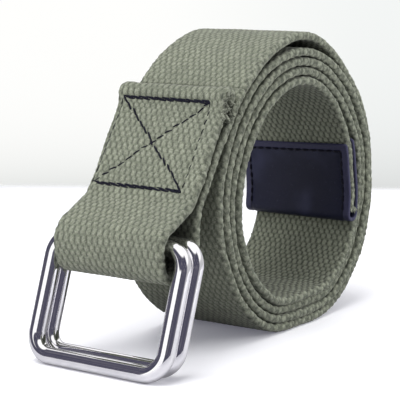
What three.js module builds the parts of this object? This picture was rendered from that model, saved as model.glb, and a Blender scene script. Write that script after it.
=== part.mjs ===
// Double-ring belt of flat cotton webbing, wound into a coil that stands on its outer turn.
// Millimetres, +Z up. X runs from the rings (-X) across the coil (+X), and Y across the webbing.
// The origin is the middle of the flat on which the coil stands.
import * as THREE from 'three';

// Webbing, one length from the folded hem, through both rings, to the leather tip
const WEBBING_WIDTH = 38;
const WEBBING_THICKNESS = 2.3;

// Coil: bearings in degrees about its middle, 0 towards +X and 90 upwards
const COIL_MIDDLE = new THREE.Vector2(3, 45.6);
const RUN_OFF_BEARING = 137;
const WEBBING_END_BEARING = -21.5;
const WHOLE_TURNS = 4;
const COIL_STEP = 6;
const LOWEST_BEARING = -90;
const FLAT_REACH = 35;
const FLAT_PITCH = 2.65;

// The coil every 45 degrees: its outline, which sags low on the right, and the pitch of its turns
const COIL_OUTLINE = [
  { bearing: -180, radius: 48.2, pitch: 3.05 },
  { bearing: -135, radius: 49.4, pitch: 2.9 },
  { bearing: -90, radius: 48.9, pitch: 2.65 },
  { bearing: -45, radius: 49.6, pitch: 2.7 },
  { bearing: 0, radius: 46.9, pitch: 2.6 },
  { bearing: 45, radius: 44.3, pitch: 2.85 },
  { bearing: 90, radius: 44.6, pitch: 2.95 },
  { bearing: 135, radius: 45.8, pitch: 3.2 },
];

// The outermost turn lifts off the next one over the top of the coil
const LIFT_BEARING = 86;
const LIFT_SPREAD = 42;
const LIFT_HEIGHT = 1.9;

// How far the last turn stands in from its neighbour, up from below its end, in even steps
const LAST_TURN = [
  { bearing: -30, standIn: 1.0 },
  { bearing: -15, standIn: 2.4 },
  { bearing: 0, standIn: 3.7 },
  { bearing: 15, standIn: 2.9 },
  { bearing: 30, standIn: 1.7 },
  { bearing: 45, standIn: 0.9 },
  { bearing: 60, standIn: 0.4 },
  { bearing: 75, standIn: 0.1 },
  { bearing: 90, standIn: 0 },
];

// Ring end of the webbing, followed from the coil to the hem: each row is a straight or an arc
const RING_END_ROUTE = [
  { stretch: 'run off', length: 14.2, turn: 12.5 },
  { stretch: 'sewn, back layer', length: 21.0, turn: 2.8 },
  { stretch: 'behind the bars', length: 12.1, turn: 29.2 },
  { stretch: 'under the bars, back', length: 16.4, turn: -91 },
  { stretch: 'under the bars, front', length: 7.8, turn: -84 },
  { stretch: 'front of the bars', length: 2.0, turn: 4 },
  { stretch: 'over the front bar', length: 8.7, turn: -70 },
  { stretch: 'over the back bar', length: 9.2, turn: -1 },
  { stretch: 'up to the seam', length: 4.6, turn: 31.5 },
  { stretch: 'sewn, front layer', length: 24.3, turn: 0 },
  { stretch: 'over the turned end', length: 6.6, turn: 30 },
  { stretch: 'hem, front edge', length: 2.6, turn: -75 },
  { stretch: 'hem, top', length: 1.0, turn: -10 },
  { stretch: 'hem, back edge', length: 3.0, turn: -135 },
  { stretch: 'turned-under end', length: 1.8, turn: 0 },
];
const ROUTE_STEP_ANGLE = 10;
const ROUTE_STEP_LENGTH = 10;

// Leather tip, folded round the free end of the webbing
const LEATHER_WIDTH = 38.6;
const LEATHER_THICKNESS = 1.3;
const LEATHER_FLAP = 26;
const LEATHER_CLEARANCE = 0.25;
const LEATHER_END_ROOM = 1.4;
const LEATHER_FOLD_DEPTH = 1.2;
const LEATHER_FOLD_STEPS = 8;

// Two alike rings of round wire, each bent to a rounded rectangle
const RING_WIDTH = 50.5;
const RING_HEIGHT = 40;
const WIRE_DIAMETER = 5;
const RING_CORNER_RADIUS = 6.3;
const RING_BAR_HEIGHT = 35.5;
const RING_BARS = [
  { name: 'ring_front', x: -64.5 },
  { name: 'ring_back', x: -58.6 },
];
const WIRE_SIDES = 12;
const CORNER_STEPS = 6;

const degrees = THREE.MathUtils.degToRad;

function cotton(color) {
  return new THREE.MeshStandardMaterial({ color, roughness: 0.95, metalness: 0 });
}

function leather(color) {
  return new THREE.MeshStandardMaterial({ color, roughness: 0.55, metalness: 0 });
}

function chrome(color) {
  return new THREE.MeshStandardMaterial({ color, roughness: 0.08, metalness: 1 });
}

/** A column of the coil's table at any bearing, smooth through its rows. */
function coilValue(column, bearing) {
  const rows = COIL_OUTLINE.length;
  const place = THREE.MathUtils.euclideanModulo((bearing - COIL_OUTLINE[0].bearing) / 360, 1) * rows;
  const row = Math.floor(place);
  const t = place - row;
  const [a, b, c, d] = [-1, 0, 1, 2].map((k) => COIL_OUTLINE[(row + k + rows) % rows][column]);
  return b + 0.5 * t * (c - a + t * (2 * a - 5 * b + 4 * c - d + t * (3 * (b - c) + d - a)));
}

/** How far the outermost turn is lifted, `travel` degrees from where the belt runs off the coil. */
function lift(travel) {
  const off = Math.abs(RUN_OFF_BEARING - travel - LIFT_BEARING) / LIFT_SPREAD;
  return off < 1 ? 0.5 * LIFT_HEIGHT * (1 + Math.cos(Math.PI * off)) : 0;
}

const lastTurnCurve = new THREE.SplineCurve(
  LAST_TURN.map(({ bearing, standIn }) => new THREE.Vector2(bearing, standIn)),
);

/** How far the webbing stands in from its neighbour: nothing before the last turn. */
function standIn(travel) {
  const bearing = RUN_OFF_BEARING - travel + 360 * WHOLE_TURNS;
  const [first, last] = [LAST_TURN[0].bearing, LAST_TURN[LAST_TURN.length - 1].bearing];
  return lastTurnCurve.getPoint(THREE.MathUtils.clamp((bearing - first) / (last - first), 0, 1)).y;
}

/** Middle of the webbing's thickness in the coil, `travel` degrees clockwise from the run-off. */
function coilPoint(travel) {
  const bearing = RUN_OFF_BEARING - travel;
  const wound = (coilValue('pitch', bearing) * travel) / 360;
  const outside = coilValue('radius', bearing) - wound + lift(travel) - standIn(travel);
  let radius = outside - WEBBING_THICKNESS / 2;
  const fromLowest = Math.abs(THREE.MathUtils.euclideanModulo(bearing - LOWEST_BEARING + 180, 360) - 180);
  if (fromLowest < FLAT_REACH) {
    const turnsBelow = Math.round((travel - RUN_OFF_BEARING + LOWEST_BEARING) / 360);
    const drop = COIL_MIDDLE.y - FLAT_PITCH * turnsBelow - WEBBING_THICKNESS / 2;
    radius = Math.min(radius, drop / Math.cos(degrees(fromLowest)));
  }
  const angle = degrees(bearing);
  return COIL_MIDDLE.clone().add(new THREE.Vector2(Math.cos(angle), Math.sin(angle)).multiplyScalar(radius));
}

/** Middle line of the coiled webbing, from the run-off to the free end. */
function coilLine() {
  const travelEnd = RUN_OFF_BEARING - WEBBING_END_BEARING + 360 * WHOLE_TURNS;
  const steps = Math.round(travelEnd / COIL_STEP);
  return Array.from({ length: steps + 1 }, (_, k) => coilPoint((travelEnd * k) / steps));
}

/** Middle line of the ring end, from the run-off to the raw edge under the hem. */
function ringEndLine() {
  const [start, next] = [coilPoint(0), coilPoint(0.01)];
  let heading = Math.atan2(start.y - next.y, start.x - next.x);
  const line = [];
  let at = start.clone();
  for (const { length, turn } of RING_END_ROUTE) {
    const steps = Math.ceil(Math.max(Math.abs(turn) / ROUTE_STEP_ANGLE, length / ROUTE_STEP_LENGTH));
    const bend = degrees(turn) / steps;
    const chord = (length / steps) * (bend ? Math.sin(bend / 2) / (bend / 2) : 1);
    for (let k = 0; k < steps; k += 1) {
      const way = heading + bend / 2;
      at = at.clone().add(new THREE.Vector2(Math.cos(way), Math.sin(way)).multiplyScalar(chord));
      line.push(at);
      heading += bend;
    }
  }
  return line;
}

/** Unit normals of a line of points, on its left. */
function leftNormals(line) {
  return line.map((_, k) => {
    const before = line[Math.max(k - 1, 0)];
    const after = line[Math.min(k + 1, line.length - 1)];
    const along = after.clone().sub(before).normalize();
    return new THREE.Vector2(-along.y, along.x);
  });
}

/** A line moved sideways, to its left where the distance is positive. */
function moved(line, distance) {
  const normals = leftNormals(line);
  return line.map((point, k) => point.clone().addScaledVector(normals[k], distance));
}

/** Extrudes an outline of the XZ plane across the belt, evenly about Y = 0. */
function acrossBelt(outline, width) {
  const geometry = new THREE.ExtrudeGeometry(new THREE.Shape(outline), { depth: width, bevelEnabled: false });
  geometry.rotateX(Math.PI / 2);
  geometry.translate(0, width / 2, 0);
  return geometry;
}

function makeWebbing(line) {
  const half = WEBBING_THICKNESS / 2;
  const outline = [...moved(line, half), ...moved(line, -half).reverse()];
  const mesh = new THREE.Mesh(acrossBelt(outline, WEBBING_WIDTH), cotton(0x8b917c));
  mesh.name = 'webbing';
  return mesh;
}

/** Leather strip whose two flaps lie either side of the webbing's free end. */
function makeLeatherTip(coil) {
  const [beforeEnd, end] = coil.slice(-2);
  const ahead = end.clone().sub(beforeEnd).normalize();
  const side = new THREE.Vector2(-ahead.y, ahead.x);
  const fold = end.clone().addScaledVector(ahead, LEATHER_END_ROOM);
  const steps = Math.round(LEATHER_FLAP / end.distanceTo(beforeEnd));
  const flap = (distance) => moved([...coil, fold], distance).slice(-2 - steps);

  const inside = WEBBING_THICKNESS / 2 + LEATHER_CLEARANCE;
  const outside = inside + LEATHER_THICKNESS;
  const foldArc = (radius, depth) =>
    Array.from({ length: LEATHER_FOLD_STEPS - 1 }, (_, k) => {
      const angle = (Math.PI * (k + 1)) / LEATHER_FOLD_STEPS;
      return fold
        .clone()
        .addScaledVector(side, radius * Math.cos(angle))
        .addScaledVector(ahead, depth * Math.sin(angle));
    });
  const outline = [
    ...flap(outside),
    ...foldArc(outside, LEATHER_FOLD_DEPTH + LEATHER_THICKNESS),
    ...flap(-outside).reverse(),
    ...flap(-inside),
    ...foldArc(inside, LEATHER_FOLD_DEPTH).reverse(),
    ...flap(inside).reverse(),
  ];
  const mesh = new THREE.Mesh(acrossBelt(outline, LEATHER_WIDTH), leather(0x2a2c36));
  mesh.name = 'leather_tip';
  return mesh;
}

/** Middle line of a ring in its own plane, with the middle of its top bar at the origin. */
function ringLine() {
  const [w, h] = [RING_WIDTH / 2 - WIRE_DIAMETER / 2, RING_HEIGHT - WIRE_DIAMETER];
  const corner = RING_CORNER_RADIUS;
  const centres = [
    [w - corner, -corner, 0],
    [corner - w, -corner, 90],
    [corner - w, corner - h, 180],
    [w - corner, corner - h, 270],
  ];
  return centres.flatMap(([y, z, from]) =>
    Array.from({ length: CORNER_STEPS + 1 }, (_, k) => {
      const angle = degrees(from + (90 * k) / CORNER_STEPS);
      return new THREE.Vector2(y + corner * Math.cos(angle), z + corner * Math.sin(angle));
    }),
  );
}

/** Round wire bent along the ring's line and closed on itself. */
function makeRing(name) {
  const line = ringLine();
  const count = line.length;
  const positions = [];
  const index = [];
  for (let k = 0; k < count; k += 1) {
    const along = line[(k + 1) % count].clone().sub(line[(k + count - 1) % count]).normalize();
    for (let s = 0; s < WIRE_SIDES; s += 1) {
      const angle = (2 * Math.PI * (s + 0.5)) / WIRE_SIDES;
      const out = (WIRE_DIAMETER / 2) * Math.cos(angle);
      positions.push(
        (WIRE_DIAMETER / 2) * Math.sin(angle),
        line[k].x + along.y * out,
        line[k].y - along.x * out,
      );
      const [a, b] = [k * WIRE_SIDES, ((k + 1) % count) * WIRE_SIDES];
      const t = (s + 1) % WIRE_SIDES;
      index.push(a + s, b + s, b + t, a + s, b + t, a + t);
    }
  }
  const geometry = new THREE.BufferGeometry();
  geometry.setAttribute('position', new THREE.Float32BufferAttribute(positions, 3));
  geometry.setIndex(index);
  geometry.computeVertexNormals();
  const mesh = new THREE.Mesh(geometry, chrome(0xd9dade));
  mesh.name = name;
  return mesh;
}

const belt = new THREE.Group();

const coil = coilLine();
belt.add(makeWebbing([...ringEndLine().reverse(), ...coil]));
belt.add(makeLeatherTip(coil));

// Each ring leans out from its top bar, inside the loop, down to the floor
const barToFoot = RING_HEIGHT - WIRE_DIAMETER;
const lean = Math.acos((RING_BAR_HEIGHT - WIRE_DIAMETER / 2) / barToFoot);
for (const { name, x } of RING_BARS) {
  const ring = makeRing(name);
  ring.position.set(x, 0, RING_BAR_HEIGHT);
  ring.rotation.y = lean;
  belt.add(ring);
}

export default belt;
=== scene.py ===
import math
import random
import bpy
import numpy as np
from mathutils import Matrix, Vector


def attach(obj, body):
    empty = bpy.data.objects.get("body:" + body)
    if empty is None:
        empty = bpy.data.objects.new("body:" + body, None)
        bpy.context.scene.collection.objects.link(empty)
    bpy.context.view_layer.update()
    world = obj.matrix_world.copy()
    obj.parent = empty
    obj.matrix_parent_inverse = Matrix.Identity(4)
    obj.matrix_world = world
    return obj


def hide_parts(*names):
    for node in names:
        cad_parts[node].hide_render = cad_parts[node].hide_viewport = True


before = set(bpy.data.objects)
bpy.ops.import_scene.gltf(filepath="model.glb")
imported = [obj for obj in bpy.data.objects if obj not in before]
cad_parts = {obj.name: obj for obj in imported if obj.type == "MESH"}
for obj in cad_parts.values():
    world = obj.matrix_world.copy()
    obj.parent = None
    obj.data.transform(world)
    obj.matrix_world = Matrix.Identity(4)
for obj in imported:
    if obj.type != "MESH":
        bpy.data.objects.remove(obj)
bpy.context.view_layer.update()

# Camera. A long lens stands low in front of the rings and looks down at them by about nine degrees,
# turned towards the open side of the coil.
CAMERA_PLACE = Vector((-0.3910, -0.2542, 0.1146))
CAMERA_RIGHT = Vector((0.5710, -0.8210, 0.0))
CAMERA_BACK = Vector((-0.8105, -0.5633, 0.1607))
CAMERA_LENS = 135
CAMERA_SENSOR = 36
CAMERA_NEAREST = 0.01

camera = bpy.data.objects.new("camera", bpy.data.cameras.new("camera"))
camera.data.lens = CAMERA_LENS
camera.data.sensor_width = CAMERA_SENSOR
camera.data.clip_start = CAMERA_NEAREST
turned = Matrix((CAMERA_RIGHT, CAMERA_BACK.cross(CAMERA_RIGHT), CAMERA_BACK)).transposed()
camera.matrix_world = Matrix.Translation(CAMERA_PLACE) @ turned.to_4x4()
bpy.context.scene.collection.objects.link(camera)
bpy.context.scene.camera = camera


# Studio. A white table top ends about 20 cm behind the belt, before a pale backdrop that only the camera
# sees. Soft boxes hang overhead and stand at both sides. The belt stands in a dark room with a window and
# a grey wall, and reflections alone find a bright patch high up behind it.
TABLE_REACH = 0.285
TABLE_FRONT_SHARE = 1.5
TABLE_FADE = 0.022
TABLE_HALF_WIDTH = 0.42
TABLE_TURN = math.radians(3)
TABLE_WHITES = ((0.90, 0.90, 0.915, 1), (0.94, 0.94, 0.95, 1))
TABLE_BOUNCE = ((0.28, 0.28, 0.30, 1), (0.88, 0.88, 0.90, 1))
TABLE_BOUNCE_EDGE = (-0.03, -0.09)
TABLE_REFLECTED = (0.50, 0.50, 0.52, 1)
# Painted light: a glow that only the camera sees, lifting the table's shadows and tinting them blue.
TABLE_PAINTED_GLOW = (0.10, 0.10, 0.125, 1)
# Each soft box: name, place, width, length and power.
SOFT_BOXES = (
    ("overhead", (-0.24, 0.03, 0.56), 0.46, 0.70, 4.65),
    ("left", (-0.50, 0.27, 0.20), 0.38, 0.38, 1.25),
    ("right", (0.20, -0.36, 0.08), 0.30, 0.30, 2.4),
)
# The backdrop on its left and right: its colour high up, its colour at the foot, how fast it changes.
BACKDROP_SIDES = (
    ((1, 1, 0.985, 1), (0.79, 0.805, 0.79, 1), 48),
    ((0.905, 0.925, 0.915, 1), (0.72, 0.735, 0.73, 1), 33),
)
BACKDROP_FOOT = -0.1515
BACKDROP_CHANGE = (-0.05, 0.13)
# Each pair says where a part of the room begins and where it is full, as the sine of an angle.
WINDOW = Vector((-0.985, 0.174, 0))
WINDOW_FRONT = (0.3, 0.5)
WINDOW_SIDES = ((-0.52, -0.46), (0.42, 0.36))
WINDOW_TOP = (0.47, 0.40)
CEILING = (0.80, 0.88)
BACK_WALL = (0.93, -0.37, 0)
BACK_WALL_SIDE = (0.32, 0.62)
BACK_WALL_TOP = (0.6, 0.3)
BRIGHT_PATCH_SIDE = (0.02, 0.22)
BRIGHT_PATCH_FOOT = (0.30, 0.50)
ROOM_WHITE = (1.15, 1.15, 1.13, 1)
ROOM_GREY = (0.60, 0.60, 0.61, 1)
ROOM_DARK = (0.070, 0.068, 0.105, 1)
ROOM_DIM = (0.17, 0.165, 0.19, 1)


class Shade:
    """A socket of a node tree. Sums written with it add Math nodes, and node() adds any other."""

    def __init__(self, tree, socket=None):
        self.tree = tree
        self.socket = socket

    def node(self, kind, settings=None, inputs=None, output=0):
        made = self.tree.nodes.new(kind)
        for name, value in (settings or {}).items():
            setattr(made, name, value)
        for name, value in (inputs or {}).items():
            if isinstance(value, Shade):
                self.tree.links.new(value.socket, made.inputs[name])
            else:
                made.inputs[name].default_value = value
        return Shade(self.tree, made.outputs[output] if made.outputs else None)

    def also(self, output):
        """Another output of the same node."""
        return Shade(self.tree, self.socket.node.outputs[output])

    def sum(self, operation, *others):
        return self.node("ShaderNodeMath", {"operation": operation}, dict(enumerate((self, *others))))

    def __add__(self, other):
        return self.sum("ADD", other)

    def __sub__(self, other):
        return self.sum("SUBTRACT", other)

    def __rsub__(self, other):
        return self.node("ShaderNodeMath", {"operation": "SUBTRACT"}, {0: other, 1: self})

    def __mul__(self, other):
        return self.sum("MULTIPLY", other)

    def __mod__(self, other):
        return self.sum("FLOORED_MODULO", other)

    def __pow__(self, other):
        return self.sum("POWER", other)

    __radd__ = __add__
    __rmul__ = __mul__

    def floor(self):
        return self.sum("FLOOR")

    def exp(self):
        return self.sum("EXPONENT")

    def size(self):
        return self.sum("ABSOLUTE")

    def cosine(self, turns=1):
        """Cosine of this many whole turns."""
        return (self * (2 * math.pi * turns)).sum("COSINE")

    def least(self, other):
        return self.sum("MINIMUM", other)

    def most(self, other):
        return self.sum("MAXIMUM", other)

    def ease(self, start, end, low=0.0, high=1.0):
        """Rises smoothly from low to high while the value goes from start to end."""
        settings = {"interpolation_type": "SMOOTHSTEP"}
        return self.node("ShaderNodeMapRange", settings, {0: self, 1: start, 2: end, 3: low, 4: high})

    def between(self, first, second):
        """Mix of two colours, the second where this value is 1. Sockets 6, 7 and 2 are the colours'."""
        return self.node("ShaderNodeMix", {"data_type": "RGBA"}, {0: self, 6: first, 7: second}, 2)

    def along(self, direction):
        """How far this vector reaches in a direction."""
        return self.node("ShaderNodeVectorMath", {"operation": "DOT_PRODUCT"}, {0: self, 1: direction}, 1)

    def noise(self, scale, detail):
        """Soft noise about 0.5, read at the place that this vector gives."""
        return self.node("ShaderNodeTexNoise", None, {"Vector": self, "Scale": scale, "Detail": detail})

    def bump(self, strength, distance):
        """The surface's directions, tilted as this height says."""
        inputs = {"Height": self, "Strength": strength, "Distance": distance}
        return self.node("ShaderNodeBump", None, inputs)

    def surface(self, sockets):
        """Ends the material in a Principled shader with these values and links."""
        shader = self.node("ShaderNodeBsdfPrincipled", None, sockets)
        self.node("ShaderNodeOutputMaterial", None, {"Surface": shader})


def new_material(name):
    """An empty material, and a socket that gives places on the object."""
    material = bpy.data.materials.new(name)
    material.use_nodes = True
    material.node_tree.nodes.clear()
    return material, Shade(material.node_tree).node("ShaderNodeTexCoord", None, None, "Object")


def link_piece(name, data):
    piece = bpy.data.objects.new(name, data)
    bpy.context.scene.collection.objects.link(piece)
    return piece


def build_room():
    world = bpy.data.worlds.new("studio")
    bpy.context.scene.world = world
    world.use_nodes = True
    world.node_tree.nodes.clear()
    towards = Shade(world.node_tree).node("ShaderNodeTexCoord")
    up = towards.along((0, 0, 1))
    above = up - BACKDROP_FOOT
    sides = [(above * -change).exp().between(high, low) for high, low, change in BACKDROP_SIDES]
    backdrop = towards.along(CAMERA_RIGHT).ease(*BACKDROP_CHANGE).between(*sides)

    beside = towards.along((WINDOW.y, -WINDOW.x, 0))
    window = towards.along(WINDOW).ease(*WINDOW_FRONT) * up.ease(*WINDOW_TOP)
    for side in WINDOW_SIDES:
        window = window * beside.ease(*side)
    wall = towards.along(BACK_WALL).ease(*BACK_WALL_SIDE) * up.ease(*BACK_WALL_TOP)
    room = towards.noise(scale=7, detail=2).ease(0.45, 0.7).between(ROOM_DARK, ROOM_DIM)
    room = wall.between(room, ROOM_GREY)
    room = window.most(up.ease(*CEILING)).between(room, ROOM_WHITE)
    by_camera = towards.node("ShaderNodeLightPath", None, None, "Is Camera Ray")
    patch = towards.along((1, 0, 0)).ease(*BRIGHT_PATCH_SIDE) * up.ease(*BRIGHT_PATCH_FOOT)
    room = (patch * by_camera.also("Is Glossy Ray")).between(room, ROOM_WHITE)
    room = by_camera.between(room, backdrop)
    lit = towards.node("ShaderNodeBackground", None, {"Color": room, "Strength": 1.0})
    towards.node("ShaderNodeOutputWorld", None, {"Surface": lit})


def hang_soft_boxes():
    for name, place, width, length, power in SOFT_BOXES:
        box = link_piece(name + "_soft_box", bpy.data.lights.new(name, "AREA"))
        box.data.shape = "RECTANGLE"
        box.data.size = width
        box.data.size_y = length
        box.data.energy = power
        box.location = place
        box.rotation_euler = (-Vector(place)).to_track_quat("-Z", "Y").to_euler()
        box.visible_camera = False
        box.visible_glossy = False


def white_laminate(level):
    """Cloudy white that fades out at the far edge, with tones of its own for what isn't the camera."""
    material, place = new_material("white_laminate")
    cloud = place.noise(scale=9, detail=2)
    by_camera = place.node("ShaderNodeLightPath", None, None, "Is Camera Ray")
    bounce = place.along((1, 0, 0)).ease(*TABLE_BOUNCE_EDGE).between(*TABLE_BOUNCE)
    bounce = by_camera.also("Is Glossy Ray").between(bounce, TABLE_REFLECTED)
    place.surface(
        {
            "Base Color": by_camera.between(bounce, cloud.between(*TABLE_WHITES)),
            "Roughness": cloud.ease(0.3, 0.7, 0.28, 0.36),
            "Specular IOR Level": 0.25,
            # A painted glow for the camera alone lifts the table's shadows.
            "Emission Color": by_camera.between((0, 0, 0, 1), TABLE_PAINTED_GLOW),
            "Emission Strength": 1.0,
            "Alpha": place.along(level).ease(TABLE_REACH, TABLE_REACH - TABLE_FADE),
        }
    )
    return material


def set_table():
    level = Vector((-CAMERA_BACK.x, -CAMERA_BACK.y, 0)).normalized()
    level.rotate(Matrix.Rotation(-TABLE_TURN, 3, "Z"))
    across = Vector((-level.y, level.x, 0))
    corners = [
        level * (TABLE_REACH * a) + across * (TABLE_HALF_WIDTH * b)
        for a, b in ((1, -1), (1, 1), (-TABLE_FRONT_SHARE, 1), (-TABLE_FRONT_SHARE, -1))
    ]
    mesh = bpy.data.meshes.new("table")
    mesh.from_pydata(corners, [], [(0, 1, 2, 3)])
    mesh.materials.append(white_laminate(level))
    table = link_piece("table", mesh)


build_room()
hang_soft_boxes()
set_table()
bpy.context.scene.view_settings.view_transform = "Standard"


# Webbing. One length of heavy cotton webbing, 38 mm wide, warp-faced: thirty-five yarns on each face in
# slanting floats. It is wound up, and its end goes through both rings and is sewn down on itself.
# The belt's sizes are in millimetres, and bearings in degrees round the coil's middle from +X to +Z.
MM = 0.001
WEBBING_WIDTH = 38.0
WEBBING_THICKNESS = 2.42
CAD_THICKNESS = 2.3
EDGE_ROUNDING = 0.8
COIL_MIDDLE = (3.0, 45.6)
RUN_OFF_BEARING = 137
WEBBING_END_BEARING = -21.5
WHOLE_TURNS = 4
LOWEST_BEARING = -90
FLAT_REACH = 35
FLAT_PITCH = 2.65
CORNER_EASE = 0.9
# Bearing, radius of the outer turn's outer face there, and how much a turn takes off it.
COIL_OUTLINE = (
    (-180, 48.2, 3.05),
    (-135, 49.4, 2.9),
    (-90, 48.9, 2.65),
    (-45, 49.6, 2.7),
    (0, 46.9, 2.6),
    (45, 44.3, 2.85),
    (90, 44.6, 2.95),
    (135, 45.8, 3.2),
)
LIFT_BEARING = 86
LIFT_SPREAD = 42
LIFT_HEIGHT = 1.9
# How far the innermost turn stands off the others, bearing by bearing.
LAST_TURN_LOW = -30
LAST_TURN_STEP = 15
LAST_TURN = (1.0, 2.4, 3.7, 2.9, 1.7, 0.9, 0.4, 0.1, 0.0)
# Each stretch of the ring end, from the coil on: name, length, and turn in degrees.
RING_END_ROUTE = (
    ("run off", 14.2, 12.5),
    ("sewn, back layer", 21.0, 2.8),
    ("behind the bars", 12.1, 29.2),
    ("under the bars, back", 16.4, -91),
    ("under the bars, front", 7.8, -84),
    ("front of the bars", 2.0, 4),
    ("over the front bar", 8.7, -70),
    ("over the back bar", 9.2, -1),
    ("up to the seam", 4.6, 31.5),
    ("sewn, front layer", 24.3, 0),
    ("over the turned end", 6.6, 30),
    ("hem, front edge", 2.6, -75),
    ("hem, top", 1.0, -10),
    ("hem, back edge", 3.0, -135),
    ("turned-under end", 1.8, 0),
)
PATH_STEP = 0.1
PATH_SMOOTHING = 6
HEADING_REACH = 0.4
COIL_STEPS = 6400
BEND_ROOM = 0.9
LEAST_BEND = 1e-6
# Waves by which the strap strays sideways: height, wavelength over 2 pi, and start in radians.
WINDING_WAVE = (0.42, 95.0, -1.0)
WINDING_GROWTH = 150.0
STRAY_WAVES = ((0.20, 31.0, 1.0), (0.16, 7.3, 0.0), (0.09, 2.9, 0.0))

YARNS = 74
FACE_YARNS = 35
FLOAT_LENGTH = 3.95
SLANT_SHARE = 0.42
CROSS_SHARE = 0.35
CROWN_SHARE = 0.23
HOLLOWNESS = 1.5
# A ripple has this many waves round the webbing at the most, and this many radians a millimetre along it.
RIPPLE_ROUND = 5
RIPPLE_ALONG = (0.12, 0.9)
YARN_DRIFT = 0.16
YARN_JITTER = 0.05
FLOAT_DRIFT = 0.07
FLOAT_JITTER = 0.02
WEAVE_RELIEF = 0.085
INNER_RELIEF = 0.9
INNER_START = 60
INNER_EASE = 10
SWELL = 0.05
SELVEDGE_RELIEF = 0.08
SELVEDGE_REACH = 1.0
LOOP_SLANT = 2.2
LOOP_RISE = 0.5
LOOP_DEPTH = 0.5
LOOP_UNEVENNESS = 0.9
MARGIN_MIDDLE = 16.6
MARGIN_REACH = 1.5
MARGIN_RISE = 0.18
MARGIN_END = 46.0
MARGIN_EASE = 4
PUCKER_DEPTH = 0.30
PUCKER_REACH = 0.75
# Both ends of each row of stitches: length from the raw edge, and place across.
STITCH_ROWS = (
    ((9.4, 17.0), (9.4, -14.1)),
    ((37.8, 18.0), (37.8, -13.7)),
    ((9.4, 17.0), (37.8, 18.0)),
    ((9.4, -14.1), (37.8, -13.7)),
    ((9.4, 17.0), (37.8, -13.7)),
    ((9.4, -14.1), (37.8, 18.0)),
)
COIL_PIECES = 4
# Distance between the rows of corners, and corners for each yarn.
RING_END_MESH = (0.4, 3)
COIL_MESH = (0.62, 2)

# Heights of the weave at which the painted shade of a gap and the painted highlight of a crown begin and
# are full.
GAP_SHADE_HEIGHTS = (0.05, -0.55)
CROWN_HIGHLIGHT_HEIGHTS = (-0.2, 0.95)
# The flank is the yarn's colour, and the crown's lighter colour is a painted highlight.
COTTON_FLANK = (0.118, 0.128, 0.094, 1)
COTTON_CROWN_HIGHLIGHT = (0.205, 0.220, 0.166, 1)
COTTON_DARK_FLOAT = (0.095, 0.104, 0.077, 1)
COTTON_DARK_FLOAT_SHARE = 0.40
# A stronger painted highlight on the crowns inside the coil.
COTTON_INSIDE_CROWN_HIGHLIGHT = (0.300, 0.320, 0.235, 1)
INSIDE_CROWN_HIGHLIGHT_SHARE = 0.22
# Distance past the run-off where the inside of the coil begins and is full, where the crowns get more
# painted highlight and the gaps more painted shade.
INSIDE_SPAN = (30, 80)
# Painted shade: the gaps between the beads are coloured darker, more so on the second face and inside the
# coil.
COTTON_GAP_SHADE = (0.030, 0.034, 0.028, 1)
GAP_SHADE_SHARE = 0.60
SECOND_FACE_GAP_SHADE_SHARE = 0.14
INSIDE_GAP_SHADE_SHARE = 0.18
# Turns of the plies across a yarn and along a float.
YARN_TWIST = (2.5, 4.0)
# Scale and detail of the noises in the cotton.
COTTON_NOISES = {
    "fuzz": (1900.0, 3.0),
    "wear": (90.0, 4.0),
    "blotch": (420.0, 2.0),
    "hair": (4200.0, 2.0),
    "worn edge": (800.0, 3.0),
}
# Tints laid over the yarns in turn: noise, where it starts and is full, share and colour.
COTTON_TINTS = (
    ("fuzz", 0.50, 0.70, 0.46, (0.29, 0.305, 0.25, 1)),
    ("fuzz", 0.50, 0.30, 0.58, (0.058, 0.064, 0.050, 1)),
    ("hair", 0.55, 0.72, 0.38, (0.36, 0.375, 0.32, 1)),
    ("wear", 0.35, 0.70, 0.22, (0.100, 0.108, 0.086, 1)),
    ("blotch", 0.50, 0.72, 0.25, (0.080, 0.087, 0.068, 1)),
)
# Yarns from the middle of the edge where the selvedge's painted shade and highlight begin and are full.
SELVEDGE_SPAN = (2.4, 1.3)
SELVEDGE_EVENNESS = 0.42
SELVEDGE_WEAR = 4.4
# Where a tint of the selvedge starts and is full, share and colour: painted shade between the edge loops
# and a painted highlight on their tops, broken up by random wear.
SELVEDGE_SHADE_AND_HIGHLIGHT = (
    (-0.1, -0.9, 0.45, (0.036, 0.040, 0.033, 1)),
    (0.2, 1.0, 0.32, (0.270, 0.285, 0.225, 1)),
)


def through(a, b, c, d, t):
    """The smooth curve from b to c that heads as its neighbours a and d say."""
    return b + 0.5 * t * (c - a + t * (2 * a - 5 * b + 4 * c - d + t * (3 * (b - c) + d - a)))


def coil_value(column, bearing):
    """A column of the coil's outline, read smoothly at any bearing."""
    rows = len(COIL_OUTLINE)
    place = ((bearing - COIL_OUTLINE[0][0]) / 360 % 1) * rows
    row = int(place)
    near = [COIL_OUTLINE[(row + k) % rows][column] for k in (-1, 0, 1, 2)]
    return through(*near, place - row)


def lift(travel):
    """How far the outer turn stands off the coil at the top."""
    off = abs(RUN_OFF_BEARING - travel - LIFT_BEARING) / LIFT_SPREAD
    return 0.5 * LIFT_HEIGHT * (1 + math.cos(math.pi * off)) if off < 1 else 0.0


def stand_in(travel):
    """How far the innermost turn stands off the others towards the middle."""
    bearing = RUN_OFF_BEARING - travel + 360 * WHOLE_TURNS
    last = len(LAST_TURN) - 1
    place = min(max((bearing - LAST_TURN_LOW) / LAST_TURN_STEP, 0), last)
    row = min(int(place), last - 1)
    near = [LAST_TURN[min(max(row + k, 0), last)] for k in (-1, 0, 1, 2)]
    return through(*near, place - row)


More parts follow.
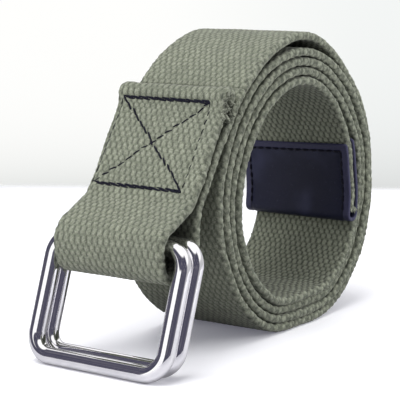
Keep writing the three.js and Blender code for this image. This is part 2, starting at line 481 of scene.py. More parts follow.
def coil_point(travel):
    """Middle of the webbing's thickness, this many degrees clockwise from the run-off."""
    bearing = RUN_OFF_BEARING - travel
    wound = coil_value(2, bearing) * travel / 360
    radius = coil_value(1, bearing) - wound + lift(travel) - stand_in(travel) - CAD_THICKNESS / 2
    from_lowest = abs((bearing - LOWEST_BEARING + 180) % 360 - 180)
    if from_lowest < FLAT_REACH:
        turns_below = round((travel - RUN_OFF_BEARING + LOWEST_BEARING) / 360)
        drop = COIL_MIDDLE[1] - FLAT_PITCH * turns_below - CAD_THICKNESS / 2
        flat_radius = drop / math.cos(math.radians(from_lowest))
        both = math.exp(-radius / CORNER_EASE) + math.exp(-flat_radius / CORNER_EASE)
        radius = -CORNER_EASE * math.log(both)
    angle = math.radians(bearing)
    return np.array([COIL_MIDDLE[0] + radius * math.cos(angle), COIL_MIDDLE[1] + radius * math.sin(angle)])


def ring_end_line():
    """Middle line of the ring end, from the run-off to the raw edge under the hem."""
    at, ahead = coil_point(0), coil_point(0.01)
    heading = math.atan2(at[1] - ahead[1], at[0] - ahead[0])
    line = []
    for _, length, turn in RING_END_ROUTE:
        steps = math.ceil(length / PATH_STEP)
        bend = math.radians(turn) / steps
        for _ in range(steps):
            way = heading + bend / 2
            at = at + length / steps * np.array([math.cos(way), math.sin(way)])
            heading += bend
            line.append(at)
    return line


class Path:
    """A smoothed line in the XZ plane, in millimetres, read by the length along it."""

    def __init__(self, points, smoothing=PATH_SMOOTHING):
        points = np.array(points)
        kernel = np.hanning(smoothing + 2)[1:-1]
        kernel /= kernel.sum()
        padded = np.pad(points, ((smoothing, smoothing), (0, 0)), "edge")
        ends = np.arange(-smoothing, 0)[:, None]
        padded[:smoothing] = points[0] + ends * (points[1] - points[0])
        padded[-smoothing:] = points[-1] - ends[::-1] * (points[-1] - points[-2])
        soft = np.stack([np.convolve(padded[:, k], kernel, "same") for k in (0, 1)], 1)
        self.points = soft[smoothing:-smoothing]
        steps = np.linalg.norm(np.diff(self.points, axis=0), axis=1)
        self.lengths = np.concatenate([[0], np.cumsum(steps)])
        self.total = self.lengths[-1]

    def at(self, length):
        """Points and left-hand normals at these lengths."""
        length = np.asarray(length, float)

        def read(s):
            return np.stack([np.interp(s, self.lengths, self.points[:, k]) for k in (0, 1)], -1)

        low = np.clip(length - HEADING_REACH, 0, self.total)
        high = np.clip(length + HEADING_REACH, 0, self.total)
        along = read(high) - read(low)
        along /= np.linalg.norm(along, axis=-1, keepdims=True)
        return read(length), np.stack([-along[..., 1], along[..., 0]], -1)

    def place(self, length, across, off):
        """Places in space at these lengths, this far across and this far off the line to its left."""
        middle, normal = self.at(length)
        x = middle[..., 0] + normal[..., 0] * off
        z = middle[..., 1] + normal[..., 1] * off
        return np.stack(np.broadcast_arrays(x, across, z), -1)


ring_end = ring_end_line()
travel_end = RUN_OFF_BEARING - WEBBING_END_BEARING + 360 * WHOLE_TURNS
coil = [coil_point(travel_end * k / COIL_STEPS) for k in range(COIL_STEPS + 1)]
path = Path(ring_end[::-1] + coil)
run_off = Path(ring_end[::-1]).total


def ripple(rows, turns, seed, waves=7):
    """Smooth unevenness of about 1, the same where the yarns meet again round the webbing."""
    draw = random.Random(seed)
    total = 0
    for _ in range(waves):
        around = draw.randint(0, RIPPLE_ROUND)
        along = draw.uniform(*RIPPLE_ALONG) * draw.choice((-1, 1))
        start = draw.uniform(0, 6.3)
        total = total + np.sin(2 * np.pi * around * turns + along * rows + start)
    return total / math.sqrt(waves)


def bell(distance, reach):
    """1 at no distance, and smoothly down to nothing past the reach."""
    return np.exp(-((distance / reach) ** 2))


def fade(s, at, reach):
    """Eases from 0 to 1 round this length, or from 1 to 0 where the reach is negative."""
    return 1 / (1 + np.exp((at - s) / reach))


def wave(s, height, reach, start):
    return height * np.sin(s / reach + start)


def wander(s):
    """How far the webbing strays sideways, as it was wound by hand."""
    winding = wave(s, *WINDING_WAVE) * s / (s + WINDING_GROWTH)
    return winding + sum(wave(s, *stray) for stray in STRAY_WAVES)


def section(samples):
    """Yarn numbers round the webbing, with where each lies across it and through it."""
    x = np.arange(0, YARNS, 1 / samples)
    edge_yarns = YARNS / 2 - FACE_YARNS
    half = WEBBING_THICKNESS / 2
    flat = WEBBING_WIDTH / 2 - half * EDGE_ROUNDING
    side = np.where(x < YARNS / 2, 1, -1)
    yarn = x % (YARNS / 2)
    turn = np.clip((yarn - FACE_YARNS) / edge_yarns, 0, 1) * math.pi
    across = flat * (1 - 2 * np.minimum(yarn / FACE_YARNS, 1)) - EDGE_ROUNDING * half * np.sin(turn)
    return x, side * across, side * half * np.cos(turn)


def count_weave(s, x):
    """Yarns counted round the webbing and floats along it, as unevenly as they were woven."""
    turns = x / YARNS
    yarns = x + YARN_DRIFT * ripple(s, turns, seed=3) + YARN_JITTER * ripple(3.1 * s, 2 * turns, seed=8)
    floats = s / FLOAT_LENGTH + FLOAT_DRIFT * ripple(s, turns, seed=4)
    return yarns, floats + FLOAT_JITTER * ripple(3.3 * s, 2 * turns, seed=9)


def weave_height(yarns, floats):
    """Relief of the weave, about -1 to 1: beads on two slants, with a hollow between them."""
    slant = np.cos(2 * np.pi * (yarns / 2 + floats))
    cross = np.cos(2 * np.pi * (yarns / 2 - floats))
    bead = SLANT_SHARE * slant + CROSS_SHARE * cross + CROWN_SHARE * np.cos(4 * np.pi * floats)
    return 1 - 2 * ((1 - bead) / 2) ** HOLLOWNESS


def distance_to_rows(s, y, rows):
    """How far each spot of the webbing is from the nearest of these straight stitch rows."""
    nearest = math.inf
    for (s0, y0), (s1, y1) in rows:
        length = math.hypot(s1 - s0, y1 - y0)
        along = np.clip(((s - s0) * (s1 - s0) + (y - y0) * (y1 - y0)) / length**2, 0, 1)
        nearest = np.minimum(nearest, np.hypot(s - s0 - along * (s1 - s0), y - y0 - along * (y1 - y0)))
    return nearest


def webbing_rise(s, x, across, depth, yarns, floats):
    """How far each spot stands out: weave, looped selvedges, raised margins and puckers at the seams."""
    turns = x / YARNS
    inner_face = np.clip(0.5 - depth / WEBBING_THICKNESS, 0, 1)
    on_coil = fade(s, run_off + INNER_START, INNER_EASE)
    relief = WEAVE_RELIEF * (1 + INNER_RELIEF * inner_face * on_coil)
    rise = relief * weave_height(yarns, floats) + SWELL * ripple(s, turns, seed=5)
    selvedge = bell(WEBBING_WIDTH / 2 - np.abs(across), SELVEDGE_REACH)
    round_edge = (x + YARNS / 4 - FACE_YARNS - 1) % (YARNS / 2) - YARNS / 4
    loops = LOOP_RISE + LOOP_DEPTH * np.cos(4 * np.pi * floats + LOOP_SLANT * round_edge)
    loops = loops + LOOP_UNEVENNESS * ripple(6 * s, 3 * turns, seed=13, waves=12)
    rise = rise + SELVEDGE_RELIEF * selvedge * loops
    margin = bell(np.abs(across) - MARGIN_MIDDLE, MARGIN_REACH) * fade(s, MARGIN_END, -MARGIN_EASE)
    pucker = bell(distance_to_rows(s, across, STITCH_ROWS), PUCKER_REACH)
    return rise + (MARGIN_RISE * margin - PUCKER_DEPTH * pucker) * (depth < 0)


def webbing_places(s, across, depth, rise):
    """Corners of the band, raised and kept from crossing each other inside a tight bend."""
    step_y = np.roll(across, -1) - np.roll(across, 1)
    step_n = np.roll(depth, -1) - np.roll(depth, 1)
    size = np.hypot(step_y, step_n)
    out_y, out_n = step_n / size, -step_y / size
    normal = path.at(s)[1]
    heading = np.unwrap(np.arctan2(normal[..., 1], normal[..., 0]), axis=0)
    bend = np.gradient(heading, axis=0) / np.gradient(s, axis=0)
    room = BEND_ROOM / np.maximum(np.abs(bend), LEAST_BEND)
    deep = depth + out_n * rise
    deep = np.where(bend > 0, np.minimum(deep, room), np.maximum(deep, -room))
    return path.place(s, across + out_y * rise + wander(s), deep)


def band_faces(grid):
    """Faces between the rows of a grid of corners, whose rows close round."""
    near, far = grid[:-1], grid[1:]
    return np.stack([near, np.roll(near, -1, 1), np.roll(far, -1, 1), far], -1).reshape(-1, 4).tolist()


def make_piece(name, places, faces, caps=()):
    """A piece from places in millimetres, with smooth faces and flat caps."""
    mesh = bpy.data.meshes.new(name)
    mesh.from_pydata((np.reshape(places, (-1, 3)) * MM).tolist(), [], [*faces, *caps])
    mesh.polygons.foreach_set("use_smooth", np.arange(len(mesh.polygons)) < len(faces))
    return link_piece(name, mesh)


def set_uv(piece, name, values):
    layer = piece.data.uv_layers.new(name=name)
    layer.data.foreach_set("uv", values.astype(np.float32).ravel())


def make_ribbon(name, start, end, row_step, samples):
    """A stretch of the webbing, as a closed band whose UV map counts yarns and floats."""
    rows = math.ceil((end - start) / row_step) + 1
    s = np.linspace(start, end, rows)[:, None]
    x, across, depth = section(samples)
    yarns, floats = count_weave(s, x)
    rise = webbing_rise(s, x, across, depth, yarns, floats)
    grid = np.arange(rows * len(x)).reshape(rows, len(x))
    caps = []
    for row, order in ((grid[0], 1), (grid[-1], -1)):
        other = row[::-1]
        caps += [(row[k], other[k], other[k + 1], row[k + 1])[::order] for k in range(len(x) // 2 - 1)]
    piece = make_piece(name, webbing_places(s, across, depth, rise), band_faces(grid), caps)

    count = np.stack([yarns, floats], -1)
    after = np.roll(count, -1, 1)
    after[:, -1, 0] += YARNS
    corners = np.stack([count[:-1], after[:-1], after[1:], count[1:]], 2).reshape(-1, 2)
    set_uv(piece, "weave", np.concatenate([corners, np.zeros((4 * len(caps), 2))]))
    return piece


def olive_cotton():
    material, body = new_material("olive_cotton")
    x = body.node("ShaderNodeSeparateXYZ", None, {0: body.node("ShaderNodeUVMap", {"uv_map": "weave"})})
    y = x.also("Y")
    up_right, up_left = x * 0.5 + y, x * 0.5 - y
    bead = SLANT_SHARE * up_right.cosine() + CROSS_SHARE * up_left.cosine() + CROWN_SHARE * y.cosine(2)
    height = 1 - 2 * (0.5 - 0.5 * bead) ** HOLLOWNESS
    which_float = {"X": (up_right + 0.5).floor(), "Y": (up_left + 0.5).floor()}
    cell = body.node("ShaderNodeCombineXYZ", None, which_float)
    chance = body.node("ShaderNodeTexWhiteNoise", {"noise_dimensions": "2D"}, {"Vector": cell})
    noises = {name: body.noise(*size) for name, size in COTTON_NOISES.items()}
    gap = height.ease(*GAP_SHADE_HEIGHTS)
    crown = height.ease(*CROWN_HIGHLIGHT_HEIGHTS)
    second_face = x.ease(YARNS / 2 - 1, YARNS / 2)
    inside = second_face * y.ease(*((run_off + reach) / FLOAT_LENGTH for reach in INSIDE_SPAN))

    # Painted highlight on the crowns of the beads.
    yarn = crown.between(COTTON_FLANK, COTTON_CROWN_HIGHLIGHT)
    yarn = (chance * COTTON_DARK_FLOAT_SHARE).between(yarn, COTTON_DARK_FLOAT)
    for name, start, full, share, tint in COTTON_TINTS:
        yarn = (noises[name].ease(start, full) * share).between(yarn, tint)
    # Inside the coil the crowns get a stronger painted highlight.
    yarn = (inside * crown * INSIDE_CROWN_HIGHLIGHT_SHARE).between(yarn, COTTON_INSIDE_CROWN_HIGHLIGHT)
    # Painted shade in the gaps between the beads, deeper on the second face and inside the coil.
    gap_shade_share = second_face * SECOND_FACE_GAP_SHADE_SHARE + inside * INSIDE_GAP_SHADE_SHARE + GAP_SHADE_SHARE
    yarn = (gap * gap_shade_share).between(yarn, COTTON_GAP_SHADE)
    round_edge = (x + (YARNS / 4 - FACE_YARNS - 1)) % (YARNS / 2) - YARNS / 4
    edge = round_edge.size().ease(*SELVEDGE_SPAN)
    loop = (2 * y + round_edge * (LOOP_SLANT / (2 * math.pi))).cosine() * SELVEDGE_EVENNESS
    loop = loop + (noises["worn edge"] - 0.5) * SELVEDGE_WEAR
    # Painted shade between the edge loops and a painted highlight on their tops, broken up by random wear.
    for start, full, share, tint in SELVEDGE_SHADE_AND_HIGHLIGHT:
        yarn = (edge * loop.ease(start, full) * share).between(yarn, tint)

    twist = (x * YARN_TWIST[0] - y * YARN_TWIST[1]).cosine()
    relief = height + 0.3 * chance + 0.6 * noises["fuzz"] + 0.3 * noises["hair"] + 0.06 * twist
    body.surface(
        {
            "Base Color": yarn,
            "Roughness": gap.ease(0, 1, 0.84, 0.97),
            "Specular IOR Level": 0.2,
            "Sheen Weight": 0.08,
            "Sheen Roughness": 0.5,
            "Normal": relief.bump(strength=0.65, distance=0.15 * MM),
        }
    )
    return material


cotton = olive_cotton()
turn_length = (path.total - run_off) / COIL_PIECES
stretches = [("webbing_ring_end", 0, run_off, *RING_END_MESH)]
for k in range(COIL_PIECES):
    start_at = run_off + k * turn_length
    stretches.append((f"webbing_coil_{k + 1}", start_at, start_at + turn_length, *COIL_MESH))
for stretch in stretches:
    piece = make_ribbon(*stretch)
    piece.data.materials.append(cotton)
    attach(piece, "belt")
    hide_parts("webbing")


# Box stitching. Black sewing thread through the front layer, its turned end and the back layer: a box
# with two diagonals, gone over twice more along its top and bottom, where the seam bears the load.
STITCH_LENGTH = 2.8
# For each row of stitches: how often it is gone over, gap between stitches, thread radius, unevenness.
STITCH_PASSES = (
    (3, 0.05, 0.23, 0.08),
    (3, 0.05, 0.23, 0.08),
    (1, 0.04, 0.14, 0.06),
    (1, 0.45, 0.12, 0.08),
    (1, 0.02, 0.27, 0.30),
    (1, 0.16, 0.20, 0.30),
)
PASS_SPACING = 0.30
PASS_SLIP = 0.33
STITCH_SLANT = 0.13
# A stitch from end to end: share of its length, height and width in thread radii.
STITCH_ARCH = (
    (0.0, -0.9, 0.8),
    (0.08, -0.15, 1.0),
    (0.25, 0.35, 1.05),
    (0.5, 0.5, 1.1),
    (0.75, 0.35, 1.05),
    (0.92, -0.15, 1.0),
    (1.0, -0.9, 0.8),
)
THREAD_SUNK = 0.21
THREAD_SIDES = 8
# A direction that no thread runs in.
NO_THREADS_WAY = (0.31, 0.53, 0.79)
# The lengths along the path between which the back layer lies.
BACK_LAYER = (92.0, 128.0)
THREAD_BLACKS = ((0.002, 0.002, 0.006, 1), (0.009, 0.009, 0.020, 1))
THREAD_DUST = (0.04, 0.04, 0.055, 1)
THREAD_DUST_SHARE = 0.25


def spot(s, y, side, rise):
    """A place on a face of the webbing, in millimetres: side 1 is the coil's outer face."""
    return path.place(s, y + wander(s), side * (WEBBING_THICKNESS / 2 + rise))


def behind(s):
    """The length along the path of the back layer's spot behind this one of the front layer."""
    back = np.arange(*BACK_LAYER, PATH_STEP)
    return back[np.argmin(np.linalg.norm(path.at(back)[0] - path.at(s)[0], axis=1))]


def tube(points, radii, sides, places, faces):
    """Adds a closed tube along these points to the lists."""
    points = np.array(points)
    ahead = np.gradient(points, axis=0)
    ahead /= np.linalg.norm(ahead, axis=1, keepdims=True)
    across = np.cross(ahead, NO_THREADS_WAY)
    across /= np.linalg.norm(across, axis=1, keepdims=True)
    other = np.cross(ahead, across)
    first = len(places)
    for k, radius in enumerate(radii):
        for side in range(sides):
            angle = 2 * math.pi * side / sides
            out = across[k] * math.cos(angle) + other[k] * math.sin(angle)
            places.append(points[k] + radius * out)
    for k in range(len(radii) - 1):
        for side in range(sides):
            a, b = first + k * sides + side, first + k * sides + (side + 1) % sides
            faces.append((a, b, b + sides, a + sides))
    faces.append(tuple(first + side for side in range(sides))[::-1])
    last = first + (len(radii) - 1) * sides
    faces.append(tuple(last + side for side in range(sides)))


def stitch(start, end, side, place_of, radius, sunk, places, faces):
    """One stitch: a short arch of thread that comes out of the cloth and goes back in."""
    points = []
    for t, rise, _ in STITCH_ARCH:
        s, y = start[0] + t * (end[0] - start[0]), start[1] + t * (end[1] - start[1])
        points.append(place_of(s, y, side, rise * radius - sunk))
    tube(points, [radius * width for _, _, width in STITCH_ARCH], THREAD_SIDES, places, faces)


def sew_box():
    draw = random.Random(11)
    places, faces = [], []
    for (start, end), (passes, gap, radius, stray) in zip(STITCH_ROWS, STITCH_PASSES):
        start, way = np.array(start), np.subtract(end, start)
        length = np.linalg.norm(way)
        count = round(length / STITCH_LENGTH)
        sideways = np.array([-way[1], way[0]]) / length
        for again in range(passes):
            shift = (again - (passes - 1) / 2) * PASS_SPACING
            for k in range(count):
                begin = k + PASS_SLIP * again
                jog = sideways * (shift + draw.uniform(-stray, stray))
                turn = sideways * (STITCH_SLANT + draw.uniform(-stray, stray))
                first = start + way * begin / count + jog - turn
                last = start + way * min((begin + 1 - gap) / count, 1) + jog + turn
                stitch(first, last, -1, spot, radius, THREAD_SUNK, places, faces)
                back = [(behind(s), y) for s, y in (first, last)]
                stitch(*back, -1, spot, radius, THREAD_SUNK, places, faces)
    return make_piece("box_stitching", places, faces)


def sewing_thread():
    material, place = new_material("black_thread")
    ply = place.noise(scale=3200, detail=2)
    dust = place.noise(scale=400, detail=2)
    colour = ply.ease(0.35, 0.7).between(*THREAD_BLACKS)
    place.surface(
        {
            "Base Color": (dust.ease(0.6, 0.9) * THREAD_DUST_SHARE).between(colour, THREAD_DUST),
            "Roughness": ply.ease(0.3, 0.7, 0.6, 0.8),
            "Specular IOR Level": 0.25,
            "Normal": ply.bump(strength=0.6, distance=0.1 * MM),
        }
    )
    return material


black_thread = sewing_thread()
box_stitching = sew_box()
box_stitching.data.materials.append(black_thread)
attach(box_stitching, "belt")


# Frayed yarns. Cut ends of the webbing's own yarns, which have worked loose at the near corner of the
# hem and at the near corner of the other raw end, inside the leather.
FRAY_CURL = (1, 0.4, 1)
FRAY_SIDES = 7
FRAY_TAPER = (0.9, 1.0, 1.0, 0.96, 0.9, 0.8, 0.62, 0.3)
# Each bunch: its number, the face that it lies on, and the ranges of its roots, headings and radii.
# Roots, headings and curls are given along the webbing, across it and out of the face.
FRAY_BUNCHES = (
    {
        "count": 40,
        "side": -1,
        "root": ((6.0, 14.5), (-19.0, -17.6), (-3.6, -0.2)),
        "heading": ((-1.8, 1.8), (-2.2, -0.8), (-0.8, 0.8)),
        "radius": (0.26, 0.44),
    },
    {
        "count": 12,
        "side": 1,
        "root": ((path.total - 0.1, path.total - 0.9), (-19.2, -17.5), (-2.2, 0.0)),
        "heading": ((0.9, 2.4), (-1.1, 0.0), (-0.3, 0.3)),
        "radius": (0.22, 0.34),
    },
)
FRAY_YARN = ((0.125, 0.134, 0.104, 1), (0.250, 0.262, 0.210, 1))
FRAY_SHADE = (0.055, 0.060, 0.047, 1)
FRAY_SHADE_SHARE = 0.6


def loose_yarn(draw, root, heading, radius, side, places, faces):
    """A curling end of yarn: root and heading are along the webbing, across it and out of it."""
    curl = np.array([draw.uniform(-most, most) for most in FRAY_CURL])
    s, y, rise = root
    normal = path.at(s)[1]
    ways = np.array([(normal[1], 0, -normal[0]), (0, 1, 0), (side * normal[0], 0, side * normal[1])])
    points = []
    for t in np.linspace(0, 1, len(FRAY_TAPER)):
        points.append(spot(s, y, side, rise) + (np.array(heading) * t + curl * 0.5 * t * t) @ ways)
    tube(points, [radius * share for share in FRAY_TAPER], FRAY_SIDES, places, faces)


def fray_ends():
    draw = random.Random(21)
    places, faces = [], []
    for bunch in FRAY_BUNCHES:
        for _ in range(bunch["count"]):
            root = [draw.uniform(*limits) for limits in bunch["root"]]
            heading = [draw.uniform(*limits) for limits in bunch["heading"]]
            loose_yarn(draw, root, heading, draw.uniform(*bunch["radius"]), bunch["side"], places, faces)
    return make_piece("frayed_yarns", places, faces)


def raw_yarn():
    material, place = new_material("raw_yarn")
    ply = place.noise(scale=2400, detail=3)
    shade = place.noise(scale=500, detail=2)
    colour = ply.ease(0.35, 0.7).between(*FRAY_YARN)
    place.surface(
        {
            "Base Color": (shade.ease(0.60, 0.40) * FRAY_SHADE_SHARE).between(colour, FRAY_SHADE),
            "Roughness": ply.ease(0.3, 0.7, 0.86, 0.96),
            "Specular IOR Level": 0.2,
            "Sheen Weight": 0.08,
            "Sheen Roughness": 0.5,
            "Normal": ply.bump(strength=0.6, distance=0.1 * MM),
        }
    )
    return material


frayed_yarns = fray_ends()
frayed_yarns.data.materials.append(raw_yarn())
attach(frayed_yarns, "belt")


# Leather tip. A strip of smooth black leather is folded round the free end of the webbing, its border
# pressed and coloured lighter, and stitched to it along both sides and across the top.
LEATHER_WIDTH = 40.2
LEATHER_SHIFT = 0.8
LEATHER_SLANT = 1.5
LEATHER_THICKNESS = 1.3
LEATHER_FLAP = 22.4
LEATHER_GAP = 1.4
LEATHER_OUTER_GAP = 2.0
LEATHER_END_ROOM = 2.1
LEATHER_FOLD_DEPTH = 1.85
LEATHER_EDGE = 0.45
LEATHER_END_ROUND = 0.6
LEATHER_CORNER = 1.3
LEATHER_BORDER = 2.5
GROOVE_DEPTH = 0.22
GROOVE_REACH = 0.42
PANEL_RISE = 0.10
PANEL_INSET = 0.8
PANEL_EASE = 0.4
LEATHER_PATH_STEP = 0.25
LEATHER_PATH_SMOOTHING = 3
FOLD_STEPS = 25
LEATHER_ROWS = 150
LEATHER_COLUMNS = 76
LEATHER_EDGE_STEPS = 5
END_CROWDING = 0.35
LEATHER_STITCH = 3.0
LEATHER_STITCH_SPAN = (0.17, 0.83)
LEATHER_STITCH_STRAY = 0.06
LEATHER_SEAM_PAST = 0.5
LEATHER_THREAD = 0.33
LEATHER_THREAD_SUNK = 0.06
LEATHER_BLACKS = ((0.007, 0.008, 0.023, 1), (0.024, 0.027, 0.062, 1))
LEATHER_BORDER_SPAN = (-0.1, -0.5)
# The border is coloured lighter than the panel.
LEATHER_LIGHTER_BORDER = (0.029, 0.029, 0.062, 1)
# Painted shade in the groove that the stitches lie in.
GROOVE_SHADE_SPAN = (0.45, 0.2)
LEATHER_GROOVE_SHADE = (0.004, 0.004, 0.009, 1)
GROOVE_SHADE_SHARE = 0.35
LEATHER_GRAIN = (0.030, 0.030, 0.052, 1)
LEATHER_GRAIN_SHARE = 0.5


def leather_line():
    """Middle of the leather's thickness, from the outer flap round the fold to the inner flap."""
    inner = LEATHER_GAP + LEATHER_THICKNESS / 2
    outer = LEATHER_OUTER_GAP + LEATHER_THICKNESS / 2
    s = np.arange(path.total - LEATHER_FLAP, path.total, LEATHER_PATH_STEP)
    middle, normal = path.at(s)
    end, side = path.at(path.total)
    ahead = np.array([side[1], -side[0]])
    fold = end + ahead * LEATHER_END_ROOM + side * (outer - inner) / 2
    arc = [
        fold + side * (outer + inner) / 2 * math.cos(angle) + ahead * LEATHER_FOLD_DEPTH * math.sin(angle)
        for angle in np.linspace(0, math.pi, FOLD_STEPS)
    ]
    opening = inner + (outer - inner) * np.linspace(0, 1, len(s))[:, None] ** 0.5
    return [*(middle + normal * opening), *arc, *(middle - normal * inner)[::-1]]


leather_path = Path(leather_line(), LEATHER_PATH_SMOOTHING)


def leather_relief(s, y):
    """The groove that the stitches lie in, and the panel that stands up inside the pressed border."""
    from_end = np.minimum(s, leather_path.total - s)
    inside = np.minimum(from_end, LEATHER_WIDTH / 2 - np.abs(y)) - LEATHER_BORDER
    return PANEL_RISE * fade(inside, PANEL_INSET, PANEL_EASE) - GROOVE_DEPTH * bell(inside, GROOVE_REACH)


def askew(s, y):
    """Length along the leather once the inner flap's end has been cut aslant."""
    share = np.clip(2 * s / leather_path.total - 1, 0, 1)
    return s - LEATHER_SLANT * share * (0.5 + y / LEATHER_WIDTH)


def leather_spot(s, y, side, rise):
    return leather_path.place(askew(s, y), y + LEATHER_SHIFT, side * (LEATHER_THICKNESS / 2 + rise))


def leather_section():
    """Places across and through the leather, round a flat band with rounded sides."""
    half = LEATHER_THICKNESS / 2
    flat = LEATHER_WIDTH / 2 - LEATHER_EDGE
    turn = math.pi * np.arange(1, LEATHER_EDGE_STEPS) / LEATHER_EDGE_STEPS
    y = np.concatenate([np.linspace(flat, -flat, LEATHER_COLUMNS), -flat - LEATHER_EDGE * np.sin(turn)])
    n = np.concatenate([np.full(LEATHER_COLUMNS, half), half * np.cos(turn)])
    return np.concatenate([y, -y]), np.concatenate([n, -n])


def rounded(distance, radius):
    """Share of the full size this far from an end that is rounded off."""
    return np.sqrt(1 - np.clip(1 - distance / radius, 0, 1) ** 2)


def make_leather():
    """The folded strip, thin at both ends, whose UV map gives millimetres along and across."""
    even = np.linspace(0, 1, LEATHER_ROWS)[:, None]
    crowded = (1 - np.cos(math.pi * even)) / 2
    s = leather_path.total * (END_CROWDING * crowded + (1 - END_CROWDING) * even)
    y, n = leather_section()
    from_end = np.minimum(s, leather_path.total - s)
    cut_off = LEATHER_CORNER * (1 - rounded(from_end, LEATHER_CORNER))
    across = y * (1 - cut_off / (LEATHER_WIDTH / 2))
    outer_face = n > 0.9 * LEATHER_THICKNESS / 2
    deep = (n + leather_relief(s, across) * outer_face) * rounded(from_end, LEATHER_END_ROUND)
    places = leather_path.place(askew(s, across), across + LEATHER_SHIFT, deep)
    grid = np.arange(LEATHER_ROWS * len(y)).reshape(LEATHER_ROWS, len(y))
    ends = [grid[0][::-1].tolist(), grid[-1].tolist()]
    piece = make_piece("leather_end", places, band_faces(grid) + ends)
    spread = np.stack(np.broadcast_arrays(s, across), -1).reshape(-1, 2)
    set_uv(piece, "spread", spread[[corner.vertex_index for corner in piece.data.loops]])
    return piece


def smooth_leather():
    material, place = new_material("black_leather")
    pores = place.node("ShaderNodeTexVoronoi", None, {"Vector": place, "Scale": 2300.0})
    grain = place.noise(scale=900, detail=4)
    cloud = place.noise(scale=38, detail=3)
    s = place.node("ShaderNodeSeparateXYZ", None, {0: place.node("ShaderNodeUVMap", {"uv_map": "spread"})})
    from_side = LEATHER_WIDTH / 2 - s.also("Y").size()
    inside = from_side.least(s).least(leather_path.total - s) - LEATHER_BORDER
    groove = inside.size().ease(*GROOVE_SHADE_SPAN)
    colour = cloud.ease(0.40, 0.60).between(*LEATHER_BLACKS)
    colour = inside.ease(*LEATHER_BORDER_SPAN).between(colour, LEATHER_LIGHTER_BORDER)
    # Painted shade darkens the groove.
    colour = (groove * GROOVE_SHADE_SHARE).between(colour, LEATHER_GROOVE_SHADE)
    colour = (grain.ease(0.55, 0.8) * LEATHER_GRAIN_SHARE).between(colour, LEATHER_GRAIN)
    relief = 0.6 * pores + 0.6 * grain
    place.surface(
        {
            "Base Color": colour,
            "Roughness": grain.ease(0.3, 0.75, 0.36, 0.56),
            "Specular IOR Level": 0.26,
            "Normal": relief.bump(strength=0.35, distance=0.1 * MM),
        }
    )
    return material


def sew_leather():
    draw = random.Random(12)
    places, faces = [], []
    low, high = LEATHER_BORDER, LEATHER_FLAP + LEATHER_SEAM_PAST
    edge = LEATHER_WIDTH / 2 - LEATHER_BORDER
    rows = (((low, edge), (low, -edge)), ((low, -edge), (high, -edge)), ((low, edge), (high, edge)))
    for flap in ("outer", "inner"):
        for start, end in rows:
            start, end = np.array(start), np.array(end)
            if flap == "inner":
                start[0], end[0] = leather_path.total - start[0], leather_path.total - end[0]
            count = round(np.linalg.norm(end - start) / LEATHER_STITCH)
            for k in range(count):
                first, last = (start + (end - start) * (k + share) / count for share in LEATHER_STITCH_SPAN)
                jog = [draw.uniform(-LEATHER_STITCH_STRAY, LEATHER_STITCH_STRAY) for _ in range(2)]
                first, last = first + jog, last - jog
                stitch(first, last, 1, leather_spot, LEATHER_THREAD, LEATHER_THREAD_SUNK, places, faces)
    return make_piece("leather_stitching", places, faces)


leather = make_leather()
leather.data.materials.append(smooth_leather())
leather_stitching = sew_leather()
leather_stitching.data.materials.append(black_thread)
for piece in (leather, leather_stitching):
    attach(piece, "belt")
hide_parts("leather_tip")


# Rings. Two alike rings of 5 mm steel wire, bent to rounded rectangles, butt-welded and chromed. They
# hang one behind the other by their upper bars in the loop of the webbing, and stand on their lower bars.
RING_WIDTH = 50.5
RING_HEIGHT = 40.0
WIRE_DIAMETER = 5.0
RING_CORNER = 6.3
RING_BAR_HEIGHT = 35.5
# Each ring, and the place of its upper bar along X.
RINGS = (("front", -64.5), ("back", -58.6))
WIRE_SIDES = 32
CORNER_STEPS = 14
BAR_STEPS = 6
CHROME = ((0.93, 0.92, 0.94, 1), (0.84, 0.83, 0.87, 1))


def on_corner(y, z, bearing):
    """A place on the bend round this middle, at this bearing in degrees."""
    angle = math.radians(bearing)
    return np.array([y + RING_CORNER * math.cos(angle), z + RING_CORNER * math.sin(angle)])


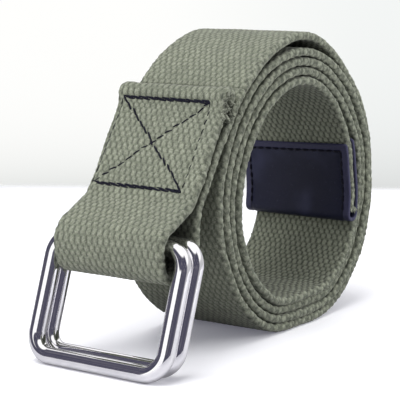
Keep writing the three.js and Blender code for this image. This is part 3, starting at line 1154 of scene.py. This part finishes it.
def ring_line():
    """Middle line of a ring in its plane, with the middle of its upper bar at the origin."""
    side = (RING_WIDTH - WIRE_DIAMETER) / 2 - RING_CORNER
    top, foot = -RING_CORNER, RING_CORNER - (RING_HEIGHT - WIRE_DIAMETER)
    corners = ((side, top, 0), (-side, top, 90), (-side, foot, 180), (side, foot, 270))
    line = []
    for k, (y, z, bearing) in enumerate(corners):
        line += [on_corner(y, z, bearing + 90 * step / CORNER_STEPS) for step in range(CORNER_STEPS + 1)]
        bar_start, bar_end = line[-1], on_corner(*corners[(k + 1) % 4])
        line += [bar_start + (bar_end - bar_start) * step / BAR_STEPS for step in range(1, BAR_STEPS)]
    return np.array(line)


def chrome_plate():
    material, place = new_material("chrome_plate")
    smudge = place.noise(scale=320, detail=4)
    wave_height = place.noise(scale=55, detail=1)
    place.surface(
        {
            "Base Color": smudge.ease(0.3, 0.75).between(*CHROME),
            "Metallic": 1.0,
            "Roughness": smudge.ease(0.4, 0.8, 0.035, 0.11),
            "Normal": wave_height.bump(strength=0.15, distance=0.6 * MM),
        }
    )
    return material


def make_ring(name, x, lean):
    line = ring_line()
    along = np.roll(line, -1, 0) - np.roll(line, 1, 0)
    along /= np.linalg.norm(along, axis=1, keepdims=True)
    angles = 2 * np.pi * (np.arange(WIRE_SIDES) + 0.5) / WIRE_SIDES
    out = WIRE_DIAMETER / 2 * np.cos(angles)
    places = np.zeros((len(line), WIRE_SIDES, 3))
    places[..., 0] = WIRE_DIAMETER / 2 * np.sin(angles)
    places[..., 1] = line[:, None, 0] + along[:, None, 1] * out
    places[..., 2] = line[:, None, 1] - along[:, None, 0] * out
    grid = np.arange(len(line) * WIRE_SIDES).reshape(len(line), WIRE_SIDES)
    ahead = np.roll(grid, -1, 0)
    faces = np.stack([grid, ahead, np.roll(ahead, -1, 1), np.roll(grid, -1, 1)], -1).reshape(-1, 4)
    piece = make_piece(name, places, faces.tolist())
    hung = Matrix.Translation((x * MM, 0, RING_BAR_HEIGHT * MM))
    piece.data.transform(hung @ Matrix.Rotation(lean, 4, "Y"))
    return piece


chrome = chrome_plate()
ring_lean = math.acos((RING_BAR_HEIGHT - WIRE_DIAMETER / 2) / (RING_HEIGHT - WIRE_DIAMETER))
for side, x in RINGS:
    ring = make_ring("chrome_ring_" + side, x, ring_lean)
    ring.data.materials.append(chrome)
    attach(ring, side + "_ring")
    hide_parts("ring_" + side)
